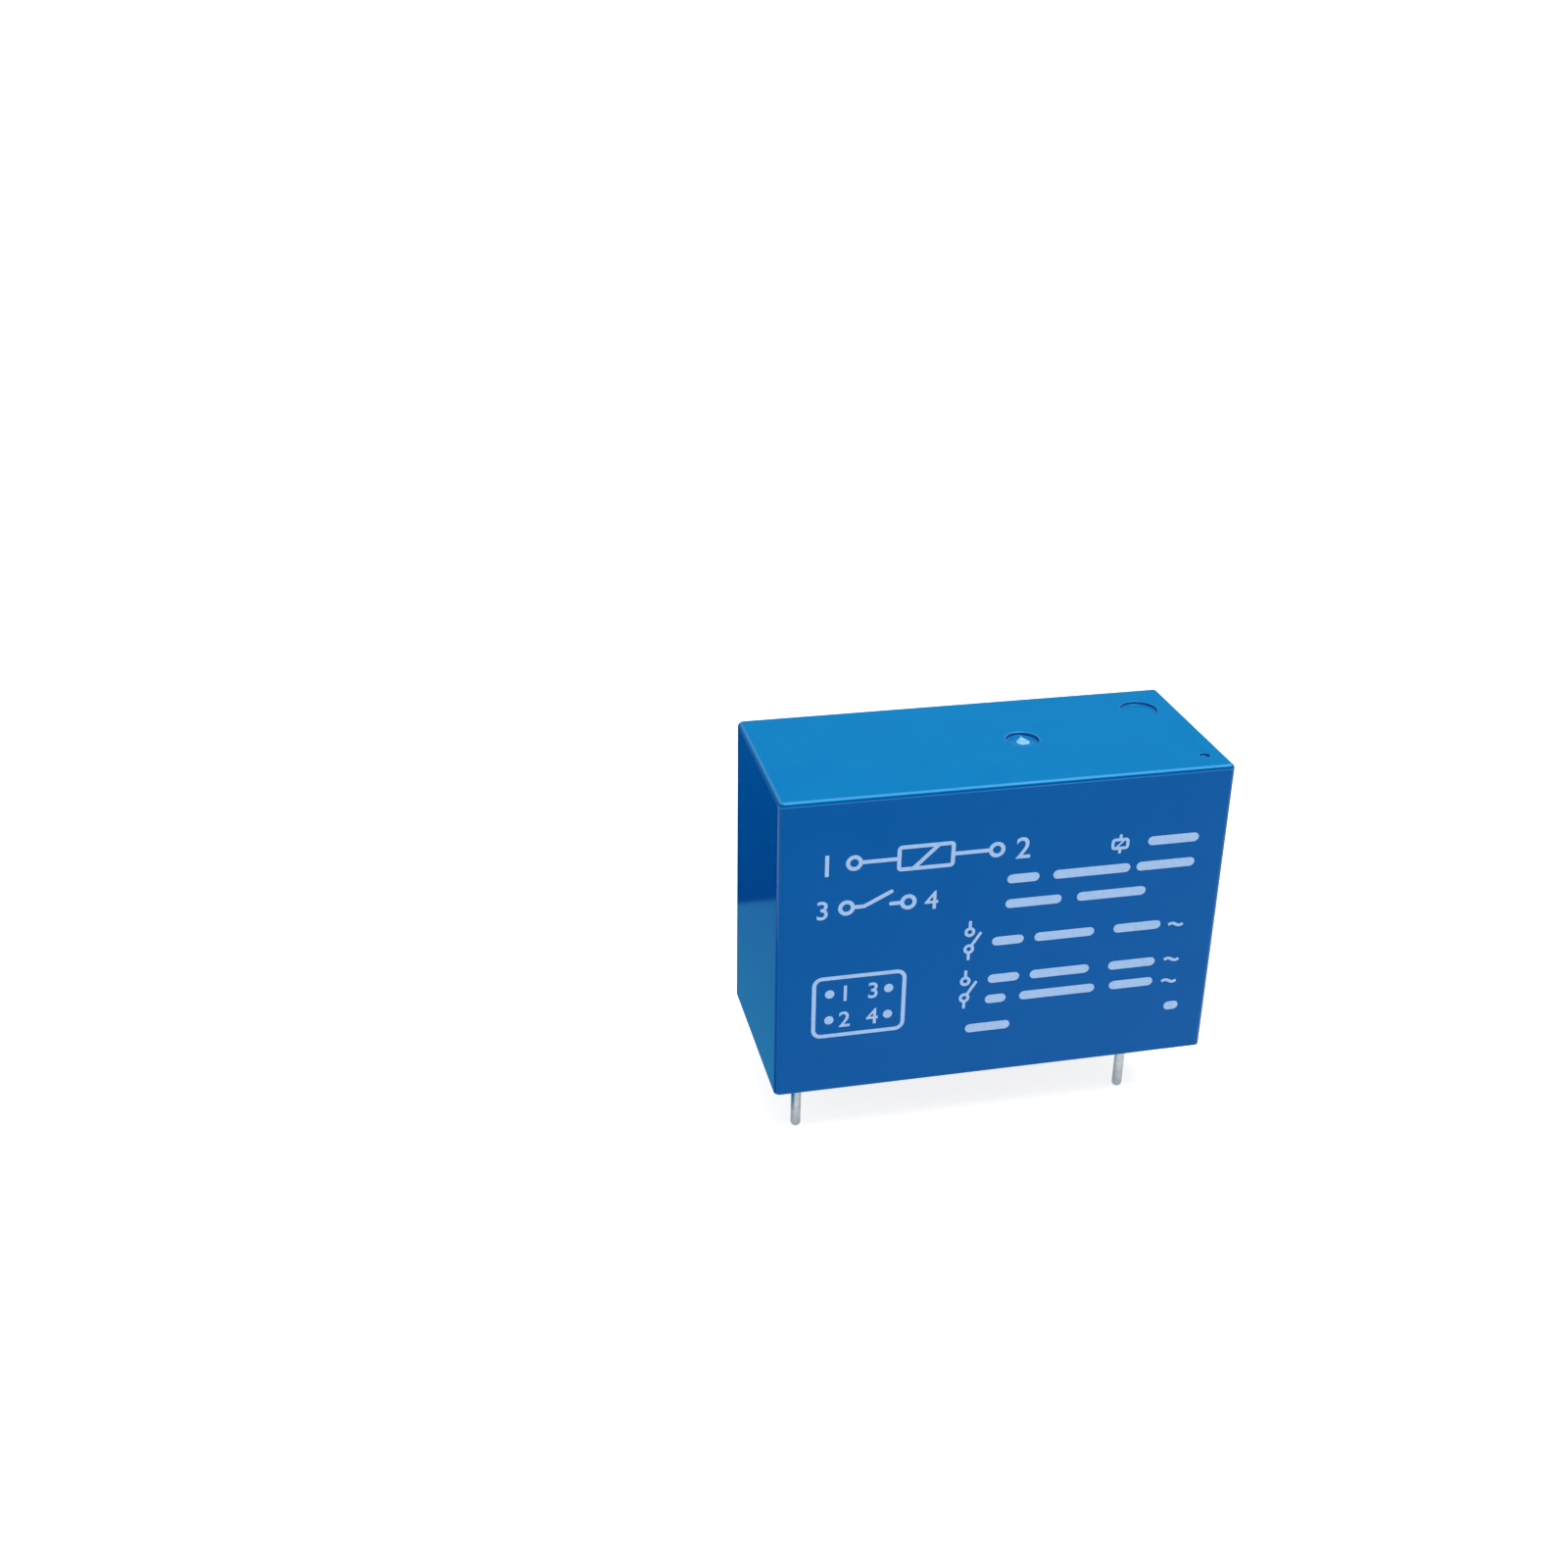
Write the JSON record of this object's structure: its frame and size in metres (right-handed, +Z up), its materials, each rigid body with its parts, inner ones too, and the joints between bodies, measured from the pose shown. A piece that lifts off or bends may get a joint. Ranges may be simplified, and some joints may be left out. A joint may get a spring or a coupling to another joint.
{
  "type": "circuit board power relay",
  "caption": "Sealed upright power relay for circuit boards: glossy blue moulded cover, resin-sealed underside with solder pins, and a coil, armature, push card and contact set inside.",
  "frame": {"origin": "centre of the cover's rim on the seating plane, where the relay meets the board", "axes": "+X along the length from the coil end to the contact end, +Y from the printed front face to the back, +Z up, away from the board"},
  "size_m": [0.029, 0.0126, 0.0249],
  "materials": {
    "cover_plastic": "glossy blue moulded plastic",
    "sealing_resin": "poured dark resin, glossy",
    "base_plastic": "moulded plastic",
    "bobbin_plastic": "natural moulded plastic",
    "copper_wire": "enamelled copper wire",
    "soft_iron": "plated soft iron",
    "spring_steel": "drawn spring wire",
    "card_plastic": "natural moulded plastic",
    "spring_bronze": "rolled bronze strip",
    "contact_silver": "silver alloy",
    "rivet_brass": "brass",
    "tinned_copper": "tinned copper alloy"
  },
  "bodies": {
    "frame": {"cover": "cover_plastic", "sealing_resin": "sealing_resin", "base": "base_plastic", "bobbin": "bobbin_plastic", "coil_winding": "copper_wire", "core": "soft_iron", "yoke": "soft_iron", "return_spring": "spring_steel", "spring_rivets": "rivet_brass", "common_terminal": "tinned_copper", "open_terminal": "tinned_copper", "fixed_contact": "contact_silver", "coil_pin_front": "tinned_copper", "coil_pin_rear": "tinned_copper", "coil_lead_front": "copper_wire", "coil_lead_rear": "copper_wire"},
    "armature": {"armature": "soft_iron"},
    "push_card": {"push_card": "card_plastic"},
    "contact_blade": {"contact_spring": "spring_bronze", "moving_contact": "contact_silver"}
  },
  "joints": [
    {"name": "armature_tilt", "type": "hinge", "parent": "frame", "child": "armature", "pos_m": [0.00145, 0, 0.0162], "axis": [0, -1, 0], "range_deg": [0, 5], "stiffness_Nm_per_rad": 0.004, "springref_deg": -14.32, "deforming": ["return_spring"]},
    {"name": "card_slide", "type": "slide", "parent": "frame", "child": "push_card", "axis": [1, 0, 0], "range_m": [0, 0.000421]},
    {"name": "contact_flex", "type": "hinge", "parent": "frame", "child": "contact_blade", "pos_m": [0.00752, 0, 0.0055], "axis": [0, 1, 0], "range_deg": [0, 4.03], "deforming": ["contact_spring"]}
  ],
  "couplings": [
    {"joint": "card_slide", "follows": "armature_tilt", "m_per_rad": 0.004824},
    {"joint": "contact_flex", "follows": "armature_tilt", "ratio": 0.80613}
  ]
}
